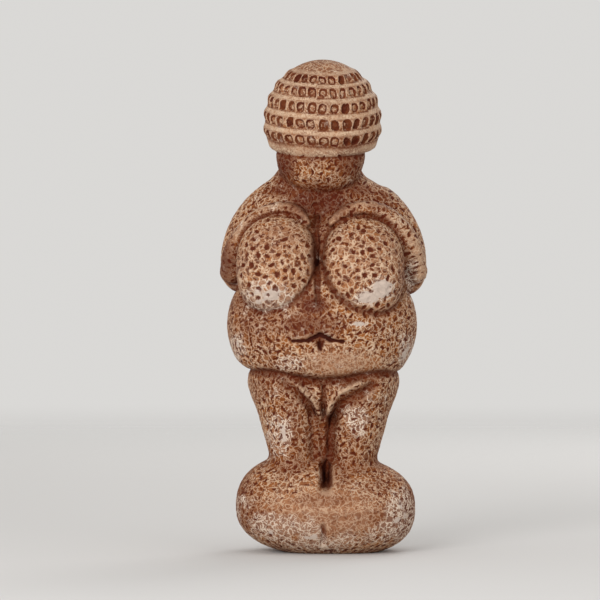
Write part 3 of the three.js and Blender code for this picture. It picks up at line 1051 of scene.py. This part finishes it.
def shut_in(g, at):
    """How shut in the surface is: in hollows and dips, and in the shaded places."""
    sunk = g.most(g.ramp(at.fine_bulge, -0.01, -0.05, 0.6), g.ramp(at.broad_bulge, -0.2, -0.8, 0.7))
    return g.math("MINIMUM", g.most(g.ramp(at.hollow, 0.13, 0.6), at.shaded, sunk), 1.0)


def resin_ground(g, at, drawn, shut):
    """Rust, ochre and tan in patches, pinker where smooth or pitted, and brown where shut in: wash and
    painted shade.
    """
    ground = g.mixed(g.ramp(drawn.broad, 0.38, 0.54), RUST, OCHRE)
    ground = g.mixed(g.ramp(drawn.medium, 0.42, 0.58, 0.9), ground, TAN)
    ground = g.mixed(g.less(0.8, at.tooled), ground, PINK_CREAM)
    ground = g.mixed(g.times(at.pitted, g.ramp(drawn.grain, 0.4, 0.58, 0.55, 0.1)), ground, PINK_CREAM)
    return g.mixed(g.times(shut, 0.85), ground, BROWN)


def dark_wash_and_shade(g, at, drawn, pressed):
    """How thick the red-brown lies: wash in the nets' cells, marks and strokes, and painted shade."""
    speck = g.times(g.ramp(drawn.fine_edge, 0.14, 0.26), g.ramp(drawn.grain, 0.44, 0.56))
    core = g.times(g.ramp(drawn.edge, 0.15, 0.25), g.ramp(drawn.each, 0.4, 0.56))
    core = g.times(core, g.ramp(at.pitted, 0.0, 1.0, 1.0, 0.5))
    flecks = g.times(g.most(speck, core), g.ramp(at.tooled, 0.0, 1.0, 0.85, 0.45))
    in_strokes = g.times(at.stain, g.ramp(drawn.grain, 0.3, 0.5, 0.95, 0.6))
    # Painted shade: the darkest shaded places, under the chin, on the face and under the breasts, take the
    # red-brown.
    deep_shade_and_wash = g.times(g.ramp(at.shaded, 1.0, 1.25, 0.95), g.ramp(drawn.grain, 0.4, 0.56, 1.0, 0.6))
    return g.most(flecks, g.times(pressed, 0.9), in_strokes, deep_shade_and_wash)


def cream_net(g, at, drawn):
    """The broken net of cream lines, with finer ones where it is broken."""
    unbroken = g.most(g.ramp(drawn.breaks, 0.43, 0.51), g.times(at.pitted, 0.7))
    lines = g.times(g.ramp(drawn.edge, 0.09, 0.035), unbroken)
    broken = g.less(g.ramp(drawn.breaks, 0.55, 0.47, 0.9), g.times(at.pitted, 0.6))
    fine_lines = g.times(g.ramp(drawn.fine_edge, 0.12, 0.045), broken)
    return g.times(g.most(lines, fine_lines), g.ramp(at.tooled, 0.0, 1.0, 1.0, 0.6))


def brushed_cream(g, at, drawn, net, shut, pressed):
    """How thick the cream is: on the net, on what is raised, and streaky on the cap's bands and the folds."""
    raised = g.most(g.ramp(at.fine_bulge, 0.04, 0.1, 0.5), g.ramp(at.rim, 0.5, 0.9, 0.7))
    streaks = g.most(g.ramp(drawn.fine_edge, 0.1, 0.03), g.ramp(drawn.grain, 0.52, 0.36))
    smear = g.times(g.less(at.banded, g.times(streaks, 0.7)), g.ramp(drawn.medium, 0.36, 0.54, 1.0, 0.65))
    cream = g.most(g.less(g.most(net, raised), g.times(shut, 0.7)), smear)
    return g.less(cream, g.most(at.stain, pressed, g.ramp(at.shaded, 0.9, 1.3, 0.5)))


def notches_washed(g, at, drawn, colour):
    ragged = g.math("ADD", g.times(drawn.ragged, 0.7), drawn.uneven)
    in_notch = g.ramp(g.math("ADD", at.notched, ragged), 0.3, 0.6)
    paint = g.mixed(g.ramp(drawn.medium, 0.42, 0.56), WASH_AND_SHADE, BROWN)
    return g.mixed(g.times(in_notch, 0.95), colour, paint)


def rubbed_and_lit_pale(g, at, drawn, net, pressed, colour):
    """Chalky lines on pale places, from handling and in part painted light, and solid pale paint on the
    palest.
    """
    pale_cover = g.math("ADD", at.worn, drawn.uneven)
    in_pits = g.less(g.times(pressed, 0.9), g.ramp(at.worn, 1.0, 1.25))
    chalky = g.times(g.ramp(pale_cover, 0.15, 0.45), g.most(net, 0.12))
    colour = g.mixed(g.less(chalky, in_pits), colour, CHALK)
    return g.mixed(g.less(g.ramp(pale_cover, 0.85, 0.95), in_pits), colour, WORN_AND_LIT_WHITE)


def resin_material(millimetre):
    """Antiqued resin: a warm ground, dark wash and painted shade in its recesses, cream and chalk on high
    places.
    """
    g = Graph("antiqued_resin")
    at = Noted(*(g.attribute(name) for name in Noted._fields))
    drawn = drawn_textures(g, millimetre)
    shut = shut_in(g, at)
    pressed = g.ramp(g.math("ADD", at.pit, drawn.ragged), 0.2, 0.5)
    net = cream_net(g, at, drawn)
    cream = brushed_cream(g, at, drawn, net, shut, pressed)

    colour = g.mixed(dark_wash_and_shade(g, at, drawn, pressed), resin_ground(g, at, drawn, shut), WASH_AND_SHADE)
    colour = g.mixed(g.times(cream, 0.85), colour, CREAM)
    colour = notches_washed(g, at, drawn, colour)
    colour = rubbed_and_lit_pale(g, at, drawn, net, pressed, colour)
    # Near black: painted shade in the deepest hollows, and the darkest wash in strokes and seams.
    deepest = g.most(g.ramp(at.hollow, 0.85, 1.0), g.ramp(at.stain, 0.8, 1.0))
    colour = g.mixed(deepest, colour, DEEPEST)

    smoother_where_pale = g.math("SUBTRACT", ROUGHNESS, g.times(at.worn, 0.16))
    roughness = g.math("ADD", smoother_where_pale, g.times(at.hollow, 0.3))
    height = g.math("ADD", cream, g.times(drawn.grain, 0.6))
    return g.finish(colour, roughness, SPECULAR, g.bump(height, BUMP_DEPTH * millimetre, BUMP_STRENGTH))


def figurine_casting(millimetre):
    mesh = grid_surface()
    tool_marked(mesh)
    to_frame(mesh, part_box("figurine")[1].z)
    # The first faces are those of the flat underside.
    mesh.polygons.foreach_set("use_smooth", [polygon.index >= COLUMNS for polygon in mesh.polygons])
    piece = bpy.data.objects.new("figurine_casting", mesh)
    bpy.context.scene.collection.objects.link(piece)
    mesh.materials.append(resin_material(millimetre))
    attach(piece, "root")
    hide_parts("figurine")


# The studio: a pale floor, soft light and a long lens square on to the figure.
FRAME_PIXELS = 600
PIXEL = 0.2037  # of the photograph, at the figure, in hundredths of the figure's height
CENTRE_FROM_FOOT = (-31.4, 251)  # pixels right of and above the middle of the underside
LENS = 200
SENSOR = 36
FLOOR_RADIUS = 1
FLOOR_FADES_FROM = 0.15
FLOOR_SIDES = 96
FLOOR_COLOUR = (0.62, 0.61, 0.6, 1)
WORLD_COLOUR = (1, 0.985, 0.96, 1)


def floor_material():
    """Pale, and fading out of sight towards the floor's rim, so that no horizon shows from any side."""
    g = Graph("pale_floor")
    away = g.nodes.new("ShaderNodeVectorMath")
    away.operation = "LENGTH"
    g.links.new(g.nodes.new("ShaderNodeTexCoord").outputs["Object"], away.inputs[0])
    fading = g.ramp(away.outputs["Value"], FLOOR_FADES_FROM, FLOOR_RADIUS)
    return g.finish(FLOOR_COLOUR, roughness=0.9, specular=0.1, alpha=g.math("SUBTRACT", 1.0, fading))


def studio_floor():
    rim = [2 * math.pi * i / FLOOR_SIDES for i in range(FLOOR_SIDES)]
    mesh = bpy.data.meshes.new("studio_floor")
    verts = [(FLOOR_RADIUS * math.cos(turn), FLOOR_RADIUS * math.sin(turn), 0) for turn in rim]
    mesh.from_pydata(verts, [], [range(FLOOR_SIDES)])
    floor = bpy.data.objects.new("studio_floor", mesh)
    bpy.context.scene.collection.objects.link(floor)
    mesh.materials.append(floor_material())


def soft_light(name, at, size, watts, target):
    light = bpy.data.lights.new(name, "AREA")
    light.shape = "DISK"
    light.size = size
    light.energy = watts
    lamp = bpy.data.objects.new(name, light)
    lamp.location = at
    lamp.rotation_euler = (Vector(target) - Vector(at)).to_track_quat("-Z", "Y").to_euler()
    bpy.context.scene.collection.objects.link(lamp)


def camera(millimetre):
    """Level, square on to the figure, and centred where the photograph is."""
    field = FRAME_PIXELS * PIXEL * millimetre
    distance = field * LENS / SENSOR
    across, height = (pixels * PIXEL * millimetre for pixels in CENTRE_FROM_FOOT)
    lens = bpy.data.cameras.new("camera")
    lens.lens = LENS
    lens.sensor_width = SENSOR
    lens.clip_start = 0.01
    eye = bpy.data.objects.new("camera", lens)
    eye.location = (across, -distance, height)
    eye.rotation_euler = (math.pi / 2, 0, 0)
    bpy.context.scene.collection.objects.link(eye)
    bpy.context.scene.camera = eye


def pale_world(strength):
    world = bpy.data.worlds.new("pale_world")
    world.use_nodes = True
    background = world.node_tree.nodes["Background"]
    background.inputs["Color"].default_value = WORLD_COLOUR
    background.inputs["Strength"].default_value = strength
    bpy.context.scene.world = world


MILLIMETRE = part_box("figurine")[1].z / 100
figurine_casting(MILLIMETRE)
studio_floor()
soft_light("key", at=(-0.24, -0.54, 0.2), size=0.3, watts=2.55, target=(0, 0, 0.04))
soft_light("fill", at=(0.35, -0.5, 0.15), size=0.4, watts=0.5, target=(0, 0, 0.05))
soft_light("back", at=(0.25, 0.5, 0.4), size=0.4, watts=1.2, target=(0, 0, 0.05))
camera(MILLIMETRE)
pale_world(strength=0.7)
bpy.context.scene.view_settings.view_transform = "Standard"
